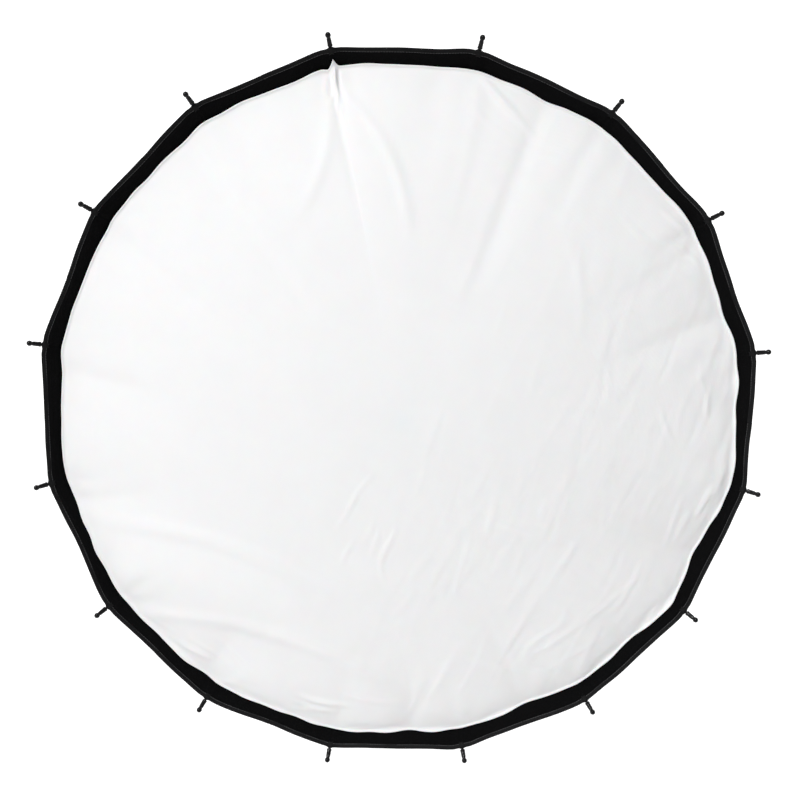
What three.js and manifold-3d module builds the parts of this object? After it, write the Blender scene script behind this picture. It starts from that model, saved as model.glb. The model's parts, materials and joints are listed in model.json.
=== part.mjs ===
// A quick-fold softbox with sixteen rods: a lamp adapter, a turning hub, sixteen hinged rods that a
// sliding collar keeps together, a black cloth shell with a silver lining, and two white diffusers.
//
// Everything is drawn in the lamp's own frame and turned upright at the end. There, +Z runs forward
// along the lamp axis from the adapter's seat face, r is the distance from that axis, and each rod
// lies in a half-plane through the axis. Millimetres and degrees.

import * as THREE from "three";
import { mergeVertices } from "three/addons/utils/BufferGeometryUtils.js";
import Module from "manifold-3d";

const wasm = await Module();
wasm.setup();

// ---- Driving dimensions ----

const RODS = 16;
const GAP = 0.3; // between pieces that touch on the real object
const ROUND = 32; // flat sides of a turned part

const MOUTH_RADIUS = 450; // a corner of the mouth, outside the cloth
const PIVOT_RADIUS = 80;
const PIVOT_DEPTH = 30;
const ROD_SLOPE = 53; // the rod's chord, away from the lamp axis
const ROD_BEND = 22; // how far the cloth bends a rod between hub and mouth
const ROD_RADIUS = 1.8;
const ROD_OVERHANG = 8; // how far a rod reaches past the mouth, inside its tip
const TIP_REACH = 14.5; // from the mouth to the middle of a tip's ball
const TIP_RADIUS = 2.8;
const BALL_RADIUS = 3.4;

const SHELL_THICKNESS = 0.8;
const LINING_THICKNESS = 0.8;
const LIP_THICKNESS = 1.0;
const LIP_WIDTH = 40;

const THROAT_RADIUS = 44; // the free way for the light
const NECK_RADIUS = 49.7;
const FLANGE_RADIUS = 60;
const FLANGE_THICKNESS = 5;
const NOSE_RADIUS = 48.75;
const NOSE_DEPTH = 11;
const LUG_RADIUS = 52.5;
const LUG_THICKNESS = 3;
const LUG_SPREAD = 30; // degrees
const HOUSING_RADIUS = 88;
const HOUSING_FLOOR = 12; // thickness of the housing's back wall
const CLEVIS_INNER = 73; // the band that the rods' brackets sit in starts here
const CLEVIS_HEIGHT = 36;
const SLOT_WIDTH = 7;
const SLOT_FLOOR = 21;
const COVER_INNER = 72;
const COVER_THICKNESS = 3.5;
const CLAMP_RADIUS = 57;
const CLAMP_THICKNESS = 3.6;
const GUIDE_RADIUS = 60.5;
const GUIDE_END = 43;
const COLLAR_RADIUS = 70;
const COLLAR_THICKNESS = 10.2;
const KNOB_SHAFT_RADIUS = 3;
const KNOB_RADIUS = 7.5;
const KNOB_START = 94;
const KNOB_LENGTH = 10;

const RING_RADIUS = 1.25; // the round wire that all the rods turn on
const BRACKET_WIDTH = 5.6;
const EYE_RADIUS = 5;
const TOE_ARM = 12.5;
const TOE_RADIUS = 2.2;
const TOE_ANGLE = 27; // above the hub's plane when the rods are open
const SOCKET_RADIUS = 4.5;
const SOCKET_START = 16;
const SOCKET_END = 38;
const ARM_THICKNESS = 2.8;

const DIFFUSER_THICKNESS = 1.2;
const DIFFUSER_SET_BACK = 24; // from the mouth, along the rods
const BAFFLE_THICKNESS = 1;
const BAFFLE_RADIUS = 215;
const BAFFLE_DEPTH = 150;

// ---- Worked out from them ----

const rad = THREE.MathUtils.degToRad;
const sin = (degrees) => Math.sin(rad(degrees));
const cos = (degrees) => Math.cos(rad(degrees));

const clothOffset = ROD_RADIUS + GAP; // from a rod's middle to the cloth on either side of it
const startSlope = ROD_SLOPE + ROD_BEND / 2;
const endSlope = ROD_SLOPE - ROD_BEND / 2;
const mouthRodRadius = MOUTH_RADIUS - (clothOffset + SHELL_THICKNESS) * cos(endSlope);
const chord = (mouthRodRadius - PIVOT_RADIUS) / sin(ROD_SLOPE);
const arcRadius = chord / (2 * sin(ROD_BEND / 2));
const rodLength = arcRadius * rad(ROD_BEND); // from the pivot to the mouth
const rearWall = FLANGE_THICKNESS + GAP;
const floorTop = rearWall + HOUSING_FLOOR;
const toeDepth = PIVOT_DEPTH + TOE_ARM * sin(TOE_ANGLE);
const knobDepth = rearWall + HOUSING_FLOOR / 2;
const rodAngle = (index) => 90 - 180 / RODS - (360 / RODS) * index;

// The slope of a rod at a distance along it from its pivot, away from the lamp axis.
const slopeAt = (distance) => startSlope - (ROD_BEND * distance) / rodLength;

// A point beside the rod's curve, as [r, z]. A positive offset lies behind the rod, outside the box.
function besideRod(distance, offset = 0) {
  const slope = slopeAt(distance);
  const r = PIVOT_RADIUS + arcRadius * (cos(slope) - cos(startSlope));
  const z = PIVOT_DEPTH + arcRadius * (sin(startSlope) - sin(slope));
  return [r + offset * cos(slope), z - offset * sin(slope)];
}

// ---- Solids ----

// A geometry as a manifold solid with its faces pointing out.
function solid(geometry) {
  const bare = geometry.index ? geometry.toNonIndexed() : geometry.clone();
  bare.deleteAttribute("normal");
  bare.deleteAttribute("uv");
  const merged = mergeVertices(bare, 1e-3);
  const triVerts = new Uint32Array(merged.index.array);
  const vertProperties = merged.attributes.position.array;
  const made = new wasm.Manifold(new wasm.Mesh({ numProp: 3, vertProperties, triVerts }));
  if (made.volume() > 0) return made;
  return new wasm.Manifold(
    new wasm.Mesh({ numProp: 3, vertProperties, triVerts: triVerts.reverse() }),
  );
}

// A manifold solid as a three.js geometry.
function geometryOf(made) {
  const mesh = made.getMesh();
  const geometry = new THREE.BufferGeometry();
  geometry.setAttribute("position", new THREE.BufferAttribute(mesh.vertProperties, 3));
  geometry.setIndex(new THREE.BufferAttribute(mesh.triVerts, 1));
  geometry.computeVertexNormals();
  return geometry;
}

// A closed outline of [r, z] points, turned about the lamp axis. A side's corners lie on the rods.
function turned(outline, sides = ROUND) {
  const points = [...outline, outline[0]].map(([r, z]) => new THREE.Vector2(r, z));
  const phase = rad(180 / RODS);
  return solid(new THREE.LatheGeometry(points, sides, phase).rotateX(Math.PI / 2));
}

// A plain ring between two radii and two depths.
function ring(inner, outer, rear, front, sides = ROUND) {
  const outline = [
    [inner, rear],
    [outer, rear],
    [outer, front],
    [inner, front],
  ];
  return turned(outline, sides);
}

// A block given by its lowest and highest corner.
function block(low, high) {
  const size = high.map((value, axis) => value - low[axis]);
  const middle = high.map((value, axis) => (value + low[axis]) / 2);
  return solid(new THREE.BoxGeometry(...size).translate(...middle));
}

// A round bar between two [r, z] points of a rod's own plane.
function roundBar(from, to, radius, sides = 8) {
  const [dr, dz] = [to[0] - from[0], to[1] - from[1]];
  const bar = new THREE.CylinderGeometry(radius, radius, Math.hypot(dr, dz), sides);
  bar.rotateZ(Math.atan2(-dr, dz)).rotateX(Math.PI / 2);
  return solid(bar.translate((from[0] + to[0]) / 2, 0, (from[1] + to[1]) / 2));
}

// A flat bar between two [r, z] points, as wide across the plane as a bracket.
function flatBar(from, to, height) {
  const [dr, dz] = [to[0] - from[0], to[1] - from[1]];
  const bar = new THREE.BoxGeometry(Math.hypot(dr, dz), BRACKET_WIDTH, height);
  bar.rotateY(-Math.atan2(dz, dr));
  return solid(bar.translate((from[0] + to[0]) / 2, 0, (from[1] + to[1]) / 2));
}

// A pin or hole across the plane, at an [r, z] point.
function crossPin([r, z], radius, width, sides = 10) {
  return solid(new THREE.CylinderGeometry(radius, radius, width, sides).translate(r, 0, z));
}

// One copy of a solid at each rod.
const aroundRods = (made) =>
  Array.from({ length: RODS }, (_, index) => made.rotate([0, 0, rodAngle(index)]));

const cutAll = (body, tools) => tools.reduce((left, tool) => left.subtract(tool), body);
const joinAll = (body, extras) => extras.reduce((whole, extra) => whole.add(extra), body);

// ---- Materials ----

const finish = (color, roughness, metalness = 0) =>
  new THREE.MeshStandardMaterial({ color, roughness, metalness });

const blackNylon = finish(0x0d0d0e, 0.85);
const silverCloth = finish(0xb9bcc0, 0.35, 0.6);
const loopTape = finish(0x0a0a0a, 0.95);
const whiteCloth = finish(0xeceff1, 0.8);
const blackRod = finish(0x101012, 0.4, 0.2);
const blackPlastic = finish(0x141415, 0.5);
const collarPlastic = finish(0x2c2d30, 0.45);
const castAluminium = finish(0xb4b7bb, 0.4, 0.9);
const springSteel = finish(0x8f9296, 0.3, 1);

// ---- Adapter ----

function bayonetAdapter() {
  const neckTop = floorTop + GAP;
  const sleeve = turned([
    [THROAT_RADIUS, -NOSE_DEPTH],
    [NOSE_RADIUS, -NOSE_DEPTH],
    [NOSE_RADIUS, 0],
    [FLANGE_RADIUS, 0],
    [FLANGE_RADIUS, FLANGE_THICKNESS],
    [NECK_RADIUS, FLANGE_THICKNESS],
    [NECK_RADIUS, neckTop],
    [THROAT_RADIUS, neckTop],
  ]);
  return joinAll(sleeve, [30, 150, 270].map(bayonetLug));
}

// A lug is a short arc of a ring on the rear end of the nose.
function bayonetLug(angle) {
  const [from, to] = [angle - LUG_SPREAD / 2, angle + LUG_SPREAD / 2];
  const inside = NOSE_RADIUS - 2;
  const outline = new THREE.Shape();
  outline.absarc(0, 0, LUG_RADIUS, rad(from), rad(to), false);
  outline.absarc(0, 0, inside, rad(to), rad(from), true);
  outline.closePath();
  const lug = new THREE.ExtrudeGeometry(outline, {
    depth: LUG_THICKNESS,
    bevelEnabled: false,
    curveSegments: 4,
  });
  return solid(lug.translate(0, 0, -NOSE_DEPTH));
}

function adapterClampRing() {
  const seat = floorTop + 2 * GAP;
  return ring(THROAT_RADIUS, CLAMP_RADIUS, seat, seat + CLAMP_THICKNESS);
}

// ---- Hub ----

function rearHousing() {
  const grooveHalf = RING_RADIUS + 3 * GAP;
  const grooveFloor = PIVOT_DEPTH - RING_RADIUS - GAP;
  const boreRadius = NECK_RADIUS + 0.4;
  const guideInner = GUIDE_RADIUS - 2.5;
  const chamfer = 4;
  const body = turned([
    [boreRadius, rearWall],
    [HOUSING_RADIUS - chamfer, rearWall],
    [HOUSING_RADIUS, rearWall + chamfer],
    [HOUSING_RADIUS, CLEVIS_HEIGHT],
    [PIVOT_RADIUS + grooveHalf, CLEVIS_HEIGHT],
    [PIVOT_RADIUS + grooveHalf, grooveFloor],
    [PIVOT_RADIUS - grooveHalf, grooveFloor],
    [PIVOT_RADIUS - grooveHalf, CLEVIS_HEIGHT],
    [CLEVIS_INNER, CLEVIS_HEIGHT],
    [CLEVIS_INNER, floorTop],
    [GUIDE_RADIUS, floorTop],
    [GUIDE_RADIUS, GUIDE_END],
    [guideInner, GUIDE_END],
    [guideInner, floorTop],
    [boreRadius, floorTop],
  ]);
  const slot = block(
    [CLEVIS_INNER - 3, -SLOT_WIDTH / 2, SLOT_FLOOR],
    [HOUSING_RADIUS + 2, SLOT_WIDTH / 2, CLEVIS_HEIGHT + 2],
  );
  const holeEnds = [NECK_RADIUS - 2, HOUSING_RADIUS + 2].map((r) => [r, knobDepth]);
  const knobHole = roundBar(...holeEnds, KNOB_SHAFT_RADIUS + 0.4);
  return cutAll(body, [...aroundRods(slot), knobHole.rotate([0, 0, -90])]);
}

function frontCover() {
  const rear = CLEVIS_HEIGHT + GAP;
  const front = rear + COVER_THICKNESS;
  const slot = block(
    [PIVOT_RADIUS - 4, -SLOT_WIDTH / 2, rear - 1],
    [HOUSING_RADIUS + 2, SLOT_WIDTH / 2, front + 1],
  );
  return cutAll(ring(COVER_INNER, HOUSING_RADIUS, rear, front), aroundRods(slot));
}

// A straight side of the wire passes through each bracket.
function hingeRing() {
  const sides = 64;
  const wire = new THREE.TorusGeometry(PIVOT_RADIUS / cos(180 / sides), RING_RADIUS, 6, sides);
  return solid(wire.rotateZ(Math.PI / sides).translate(0, 0, PIVOT_DEPTH));
}

function syncCollar() {
  const grooveHalf = TOE_RADIUS + 0.4;
  const grooveFloor = PIVOT_RADIUS - TOE_ARM - TOE_RADIUS - 0.5;
  const rear = toeDepth - COLLAR_THICKNESS / 2;
  const front = toeDepth + COLLAR_THICKNESS / 2;
  return turned([
    [GUIDE_RADIUS + GAP, rear],
    [COLLAR_RADIUS, rear],
    [COLLAR_RADIUS, toeDepth - grooveHalf],
    [grooveFloor, toeDepth - grooveHalf],
    [grooveFloor, toeDepth + grooveHalf],
    [COLLAR_RADIUS, toeDepth + grooveHalf],
    [COLLAR_RADIUS, front],
    [GUIDE_RADIUS + GAP, front],
  ]);
}

// A thumbscrew through the housing's wall, which presses on the adapter's neck.
function lockKnob() {
  const at = (r) => [r, knobDepth];
  const shaft = roundBar(at(NECK_RADIUS + 0.7), at(KNOB_START + 1), KNOB_SHAFT_RADIUS);
  const head = roundBar(at(KNOB_START), at(KNOB_START + KNOB_LENGTH), KNOB_RADIUS, 16);
  return shaft.add(head).rotate([0, 0, -90]);
}

// ---- Rods ----

class RodCurve extends THREE.Curve {
  constructor(from, to) {
    super();
    this.from = from;
    this.to = to;
  }
  getPoint(t) {
    const [r, z] = besideRod(this.from + t * (this.to - this.from));
    return new THREE.Vector3(r, 0, z);
  }
}

const rodEnd = rodLength + ROD_OVERHANG;

function rod() {
  const section = new THREE.Shape();
  section.absarc(0, 0, ROD_RADIUS, 0, 2 * Math.PI);
  const bar = new THREE.ExtrudeGeometry(section, {
    extrudePath: new RodCurve(SOCKET_START + 5, rodEnd),
    steps: 9,
    curveSegments: 4,
  });
  return solid(bar);
}

// An eye on the hinge ring, a toe in the collar's groove, and a socket for the rod.
function rodBracket() {
  const pivot = [PIVOT_RADIUS, PIVOT_DEPTH];
  const toe = [PIVOT_RADIUS - TOE_ARM * cos(TOE_ANGLE), toeDepth];
  const socketStart = besideRod(SOCKET_START);
  const socketEnd = besideRod(SOCKET_END);
  const eye = crossPin(pivot, EYE_RADIUS, BRACKET_WIDTH);
  const body = joinAll(eye, [
    crossPin(toe, TOE_RADIUS, BRACKET_WIDTH, 8),
    flatBar(toe, pivot, ARM_THICKNESS),
    flatBar(pivot, besideRod(SOCKET_START + 3), 2 * ARM_THICKNESS),
    roundBar(socketStart, socketEnd, SOCKET_RADIUS),
  ]);
  return cutAll(body, [
    crossPin(pivot, RING_RADIUS + GAP, BRACKET_WIDTH + 2, 8),
    roundBar(besideRod(SOCKET_START + 4.5), besideRod(SOCKET_END + 2), ROD_RADIUS + GAP),
  ]);
}

// A moulded cap over the rod's end, with a ball that the cloth's corner can't slip over.
function rodTip() {
  const sleeveStart = rodLength + 1;
  const bore = ROD_RADIUS + GAP;
  const boreDepth = rodEnd + GAP - sleeveStart;
  const ballMiddle = rodLength + TIP_REACH - sleeveStart;
  const onBall = (degrees) => [BALL_RADIUS * cos(degrees), ballMiddle + BALL_RADIUS * sin(degrees)];
  const outline = [
    [0, boreDepth],
    [bore, boreDepth],
    [bore, 0],
    [TIP_RADIUS, 0],
    [TIP_RADIUS, ballMiddle - BALL_RADIUS - 1],
    ...[-45, 0, 45, 90].map(onBall),
  ];
  const points = outline.map(([r, z]) => new THREE.Vector2(r, z));
  const slope = slopeAt(sleeveStart + ballMiddle / 2);
  const cap = new THREE.LatheGeometry(points, 8).rotateX(Math.PI / 2).rotateY(rad(slope));
  const [r, z] = besideRod(sleeveStart);
  return solid(cap.translate(r, 0, z));
}

// ---- Cloth ----

// A sixteen-sided cloth of even thickness beside the rods, between two distances along them.
function clothBeside(from, to, offset, thickness, steps, lead = []) {
  const distances = Array.from({ length: steps + 1 }, (_, k) => from + ((to - from) * k) / steps);
  const outside = distances.map((distance) => besideRod(distance, offset + thickness));
  const inside = distances.map((distance) => besideRod(distance, offset)).reverse();
  const leadOutside = lead.map(([r, z]) => [r + thickness, z]);
  const leadInside = [...lead].reverse();
  return turned([...leadOutside, ...outside, ...inside, ...leadInside], RODS);
}

// The shell starts round the housing, passes behind the sockets and then follows the rods.
function outerShell() {
  const hubRadius = HOUSING_RADIUS / cos(180 / RODS) + 1;
  const pastSocket = besideRod(SOCKET_END + 8, SOCKET_RADIUS + 1);
  const lead = [[hubRadius, SLOT_FLOOR], pastSocket];
  return clothBeside(90, rodLength, clothOffset, SHELL_THICKNESS, 8, lead);
}

function silverLining() {
  const offset = -clothOffset - LINING_THICKNESS;
  return clothBeside(SOCKET_END + 14, rodLength - LIP_WIDTH - GAP, offset, LINING_THICKNESS, 7);
}

function lipLoopTape() {
  const offset = -clothOffset - LIP_THICKNESS;
  return clothBeside(rodLength - LIP_WIDTH, rodLength, offset, LIP_THICKNESS, 2);
}

function flatCloth(radius, depth, thickness) {
  const outline = [
    [0, depth],
    [radius, depth],
    [radius, depth + thickness],
    [0, depth + thickness],
  ];
  const points = outline.map(([r, z]) => new THREE.Vector2(r, z));
  const phase = rad(180 / RODS);
  return solid(new THREE.LatheGeometry(points, RODS, phase).rotateX(Math.PI / 2));
}

// The front diffuser sits inside the lip, most of the tape's width back from the mouth.
function frontDiffuser() {
  const lip = besideRod(rodLength - DIFFUSER_SET_BACK, -clothOffset - LIP_THICKNESS);
  const radius = lip[0] - 4 * GAP;
  return flatCloth(radius, lip[1] - DIFFUSER_THICKNESS, DIFFUSER_THICKNESS);
}

// ---- Assembly ----

const softbox = new THREE.Group();
softbox.name = "softbox";
softbox.rotation.x = Math.PI / 2; // the mouth faces -Y and the seat face +Y

function place(name, made, material, parent = softbox) {
  const mesh = new THREE.Mesh(geometryOf(made), material);
  mesh.name = name;
  parent.add(mesh);
}

place("bayonet_adapter", bayonetAdapter(), castAluminium);
place("adapter_clamp_ring", adapterClampRing(), castAluminium);
place("hub_rear_housing", rearHousing(), blackPlastic);
place("hub_front_cover", frontCover(), blackPlastic);
place("hinge_ring", hingeRing(), springSteel);
place("sync_collar", syncCollar(), collarPlastic);
place("rotation_lock_knob", lockKnob(), blackPlastic);
place("outer_shell", outerShell(), blackNylon);
place("silver_lining", silverLining(), silverCloth);
place("lip_loop_tape", lipLoopTape(), loopTape);
place("inner_baffle", flatCloth(BAFFLE_RADIUS, BAFFLE_DEPTH, BAFFLE_THICKNESS), whiteCloth);
place("front_diffuser", frontDiffuser(), whiteCloth);

for (let index = 0; index < RODS; index += 1) {
  const spoke = new THREE.Group();
  spoke.rotation.z = rad(rodAngle(index));
  softbox.add(spoke);
  const number = String(index + 1).padStart(2, "0");
  place(`rod_${number}`, rod(), blackRod, spoke);
  place(`rod_bracket_${number}`, rodBracket(), blackPlastic, spoke);
  place(`rod_tip_${number}`, rodTip(), blackPlastic, spoke);
}

export default softbox;
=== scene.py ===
"""A quick-fold softbox with sixteen rods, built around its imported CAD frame.

The mouth faces -Y. r is the distance from the lamp axis, d the distance along a rod from its pivot,
w the distance to the side of a rod. Metres throughout.
"""

import json
import math
import random
from collections import namedtuple

import bmesh
import bpy
import numpy as np
from mathutils import Matrix, Vector, noise


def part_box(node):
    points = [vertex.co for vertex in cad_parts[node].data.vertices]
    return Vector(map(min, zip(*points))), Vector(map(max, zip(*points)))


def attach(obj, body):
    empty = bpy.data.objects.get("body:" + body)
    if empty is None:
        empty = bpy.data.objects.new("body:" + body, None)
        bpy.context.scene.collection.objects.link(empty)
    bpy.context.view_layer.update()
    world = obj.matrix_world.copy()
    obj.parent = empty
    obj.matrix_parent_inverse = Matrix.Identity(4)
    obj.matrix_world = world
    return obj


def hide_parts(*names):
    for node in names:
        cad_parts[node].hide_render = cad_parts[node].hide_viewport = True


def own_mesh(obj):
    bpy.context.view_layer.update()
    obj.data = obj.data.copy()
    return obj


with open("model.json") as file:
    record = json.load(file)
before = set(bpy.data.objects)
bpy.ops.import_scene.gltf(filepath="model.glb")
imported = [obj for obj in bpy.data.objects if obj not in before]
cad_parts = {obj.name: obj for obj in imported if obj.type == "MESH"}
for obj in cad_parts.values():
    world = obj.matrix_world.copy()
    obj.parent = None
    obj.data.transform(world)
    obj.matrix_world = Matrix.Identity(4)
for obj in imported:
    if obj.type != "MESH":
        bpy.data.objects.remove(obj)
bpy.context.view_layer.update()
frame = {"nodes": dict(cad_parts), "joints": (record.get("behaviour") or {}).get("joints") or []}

MM = 0.001
RODS = 16
TURN = 2 * math.pi / RODS
BACK = Vector((0, 1, 0))

# ---- The frame's own sizes ----

joints = {joint["name"]: joint for joint in frame["joints"]}
ROD_NAMES = [f"rod_{number:02d}" for number in range(1, RODS + 1)]
first_pivot = joints["fold_01"]["pos_m"]
PIVOT_RADIUS = math.hypot(first_pivot[0], first_pivot[2])
PIVOT_DEPTH = -first_pivot[1]
MOUTH_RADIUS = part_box("outer_shell")[1][0] / math.cos(TURN / 2)
FLANGE_FRONT = -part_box("hub_rear_housing")[1][1]
COVER_FRONT = -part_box("hub_front_cover")[0][1]
HUB_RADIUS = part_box("hub_front_cover")[1][0]
BAFFLE_DEPTH = -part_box("inner_baffle")[0][1]
BAFFLE_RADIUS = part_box("inner_baffle")[1][0] / math.cos(TURN / 2)

ROD_SLOPE = math.radians(53)  # a rod's chord, away from the lamp axis
ROD_BEND = math.radians(22)
SHELL_OUTSIDE = 2.9 * MM  # from a rod's middle to the outside of the CAD shell
TIP_REACH = 14.5 * MM
BALL_RADIUS = 3.4 * MM
LIP_WIDTH = 40 * MM
HEM_WIDTH = 5.6 * MM
SOCKET_END = 38 * MM

start_slope = ROD_SLOPE + ROD_BEND / 2
end_slope = ROD_SLOPE - ROD_BEND / 2
mouth_rod_radius = MOUTH_RADIUS - SHELL_OUTSIDE * math.cos(end_slope)
rod_chord = (mouth_rod_radius - PIVOT_RADIUS) / math.sin(ROD_SLOPE)
arc_radius = rod_chord / (2 * math.sin(ROD_BEND / 2))
ROD_LENGTH = arc_radius * ROD_BEND


def smooth(value, low, high):
    """0 below low, 1 above high, and a smooth step between them."""
    share = min(max((value - low) / (high - low), 0), 1)
    return share * share * (3 - 2 * share)


def bell(value, width):
    """1 at 0, falling away smoothly on both sides."""
    return math.exp(-((value / width) ** 2))


def rod_angle(index):
    return math.pi / 2 - TURN / 2 - TURN * index


def outward(angle):
    return Vector((math.cos(angle), 0, math.sin(angle)))


def slope_at(d):
    return start_slope - ROD_BEND * d / ROD_LENGTH


def rod_curve(d):
    """(r, depth) of a rod's middle at d."""
    slope = slope_at(d)
    r = PIVOT_RADIUS + arc_radius * (math.cos(slope) - math.cos(start_slope))
    depth = PIVOT_DEPTH + arc_radius * (math.sin(start_slope) - math.sin(slope))
    return r, depth


def rod_point(index, d):
    r, depth = rod_curve(d)
    return outward(rod_angle(index)) * r - BACK * depth


def behind_rod(index):
    """Unit vector square to a rod's chord, out of the back of the shell."""
    return outward(rod_angle(index)) * math.cos(ROD_SLOPE) + BACK * math.sin(ROD_SLOPE)


def add_object(name, data):
    made = bpy.data.objects.new(name, data)
    bpy.context.collection.objects.link(made)
    return made


def set_inputs(node, **values):
    """Sets a node's inputs by name, with _ for a space."""
    for key, value in values.items():
        node.inputs[key.replace("_", " ")].default_value = value


# ---- Camera, light and floor ----

STAGE_SIZE = 60
FLOOR_HEIGHT = -0.75
BACKDROP_DISTANCE = 5


def look_through_camera():
    """The softbox from in front and a little above, as in a product picture."""
    elevation, azimuth, roll = math.radians(7.7), math.radians(-0.8), math.radians(0.74)
    distance, raised, moved_left = 1.0, 0.0232, 0.0006
    forward = Vector(
        (
            -math.sin(azimuth) * math.cos(elevation),
            math.cos(azimuth) * math.cos(elevation),
            -math.sin(elevation),
        )
    )
    right = forward.cross(Vector((0, 0, 1))).normalized()
    up = right.cross(forward)
    mouth_depth = rod_curve(ROD_LENGTH)[1] - SHELL_OUTSIDE * math.sin(end_slope)
    place = -BACK * mouth_depth - forward * distance + up * raised - right * moved_left
    turned_right = right * math.cos(roll) + up * math.sin(roll)
    turned_up = up * math.cos(roll) - right * math.sin(roll)
    data = bpy.data.cameras.new("camera")
    data.sensor_width = 36
    data.lens = 36.15
    data.clip_start = 0.01
    camera = add_object("camera", data)
    axes = Matrix((turned_right, turned_up, -forward)).transposed()
    camera.matrix_world = Matrix.Translation(place) @ axes.to_4x4()
    bpy.context.scene.camera = camera


def area_light(name, place, target, size, power):
    data = bpy.data.lights.new(name, "AREA")
    data.shape = "DISK"
    data.size = size
    data.energy = power
    light = add_object(name, data)
    light.location = place
    light.rotation_euler = (Vector(target) - Vector(place)).to_track_quat("-Z", "Y").to_euler()


def stage_plane(name, place, turn, near, far):
    """A pale, matt plane that gives off a little light, as a lit studio sweep does. The glow
    grows from near, in front of the softbox, to far, behind it."""
    bpy.ops.mesh.primitive_plane_add(size=STAGE_SIZE, location=place, rotation=turn)
    plane = bpy.context.object
    plane.name = name
    recipe = Recipe(name, (0.5, 0.5, 0.5), 0.9)
    recipe.set(Emission_Color=(1, 1, 1, 1))
    split = recipe.node("ShaderNodeSeparateXYZ")
    recipe.feed(split.inputs[0], recipe.node("ShaderNodeNewGeometry").outputs["Position"])
    glow = recipe.node("ShaderNodeMapRange")
    recipe.feed(glow.inputs["Value"], split.outputs["Y"])
    set_inputs(glow, From_Min=-1.3, From_Max=0.0, To_Min=near, To_Max=far)
    recipe.tree.links.new(glow.outputs["Result"], recipe.shader.inputs["Emission Strength"])
    plane.data.materials.append(recipe.material)


def set_room():
    """Soft light that is brightest towards the upper left in front, and dim to the lower right."""
    world = bpy.data.worlds.new("soft_room")
    world.use_nodes = True
    tree = world.node_tree
    direction = tree.nodes.new("ShaderNodeTexCoord").outputs["Generated"]
    towards = tree.nodes.new("ShaderNodeVectorMath")
    towards.operation = "DOT_PRODUCT"
    towards.inputs[1].default_value = Vector((-0.34, -0.55, 0.76)).normalized()
    tree.links.new(direction, towards.inputs[0])
    spread = tree.nodes.new("ShaderNodeMapRange")
    set_inputs(spread, From_Min=-0.7, To_Min=0.08, To_Max=0.58)
    tree.links.new(towards.outputs["Value"], spread.inputs["Value"])
    tree.links.new(spread.outputs["Result"], tree.nodes["Background"].inputs["Strength"])
    set_inputs(tree.nodes["Background"], Color=(1, 1, 1, 1))
    bpy.context.scene.world = world


def set_stage():
    """A bright sweep, a pale floor, a soft key from the upper left in front, and a faint rim light."""
    bpy.context.scene.view_settings.view_transform = "Standard"
    set_room()
    stage_plane("floor", (0, 0, FLOOR_HEIGHT), (0, 0, 0), 0.0, 0.75)
    stage_plane("backdrop", (0, BACKDROP_DISTANCE, 2.0), (math.radians(90), 0, 0), 0.9, 0.9)
    area_light("key", (-2.5, -4.2, 4.1), (0, -0.3, 0), 1.2, 262)
    area_light("rim", (1.8, 1.6, 1.2), (0, -0.1, 0), 1.0, 12)


# ---- Materials ----

WAVE_PERIOD = 0.314  # of a wave texture whose scale is 1


class Recipe:
    """A Principled material whose nodes are added one by one."""

    def __init__(self, name, color, roughness, metallic=0.0):
        self.material = bpy.data.materials.new(name)
        self.material.use_nodes = True
        self.tree = self.material.node_tree
        self.shader = self.tree.nodes["Principled BSDF"]
        self.set(Base_Color=(*color, 1), Roughness=roughness, Metallic=metallic)
        self.place = self.node("ShaderNodeTexCoord").outputs["Object"]
        self.heights = []

    def node(self, kind, **settings):
        made = self.tree.nodes.new(kind)
        for key, value in settings.items():
            setattr(made, key, value)
        return made

    def feed(self, socket, value):
        if isinstance(value, (int, float)):
            socket.default_value = value
        else:
            self.tree.links.new(value, socket)

    def math(self, operation, first, second=0.0):
        made = self.node("ShaderNodeMath", operation=operation)
        self.feed(made.inputs[0], first)
        self.feed(made.inputs[1], second)
        return made.outputs[0]

    def noise(self, size, detail=4.0, roughness=0.55):
        """Soft noise whose blotches are about size across."""
        made = self.node("ShaderNodeTexNoise")
        self.feed(made.inputs["Vector"], self.place)
        set_inputs(made, Scale=1 / size, Detail=detail, Roughness=roughness)
        return made.outputs["Fac"]

    def threads(self, pitch, direction):
        """Ridges that repeat every pitch along one axis of the frame."""
        made = self.node("ShaderNodeTexWave", bands_direction=direction)
        self.feed(made.inputs["Vector"], self.place)
        set_inputs(made, Scale=WAVE_PERIOD / pitch, Distortion=0.6, Detail=1.0)
        return made.outputs["Fac"]

    def weave(self, pitch):
        """Threads both ways across the mouth, and along the lamp axis."""
        both = self.math("MULTIPLY", self.threads(pitch, "X"), self.threads(pitch, "Z"))
        return self.math("ADD", both, self.math("MULTIPLY", self.threads(pitch, "Y"), 0.5))

    def tint(self, factor, dark, light):
        """The base colour runs from dark to light with the factor."""
        ramp = self.node("ShaderNodeValToRGB")
        ramp.color_ramp.elements[0].position = 0.3
        ramp.color_ramp.elements[1].position = 0.7
        ramp.color_ramp.elements[0].color = (*dark, 1)
        ramp.color_ramp.elements[1].color = (*light, 1)
        self.feed(ramp.inputs["Fac"], factor)
        self.tree.links.new(ramp.outputs["Color"], self.shader.inputs["Base Color"])

    def roughen(self, factor, low, high):
        spread = self.node("ShaderNodeMapRange")
        self.feed(spread.inputs["Value"], factor)
        set_inputs(spread, To_Min=low, To_Max=high)
        self.tree.links.new(spread.outputs["Result"], self.shader.inputs["Roughness"])

    def bump(self, height, depth, strength=1.0):
        made = self.node("ShaderNodeBump")
        set_inputs(made, Strength=strength, Distance=depth)
        self.feed(made.inputs["Height"], height)
        if self.heights:
            self.tree.links.new(self.heights[-1], made.inputs["Normal"])
        self.heights.append(made.outputs["Normal"])
        self.tree.links.new(made.outputs["Normal"], self.shader.inputs["Normal"])

    def set(self, **values):
        set_inputs(self.shader, **values)


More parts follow.
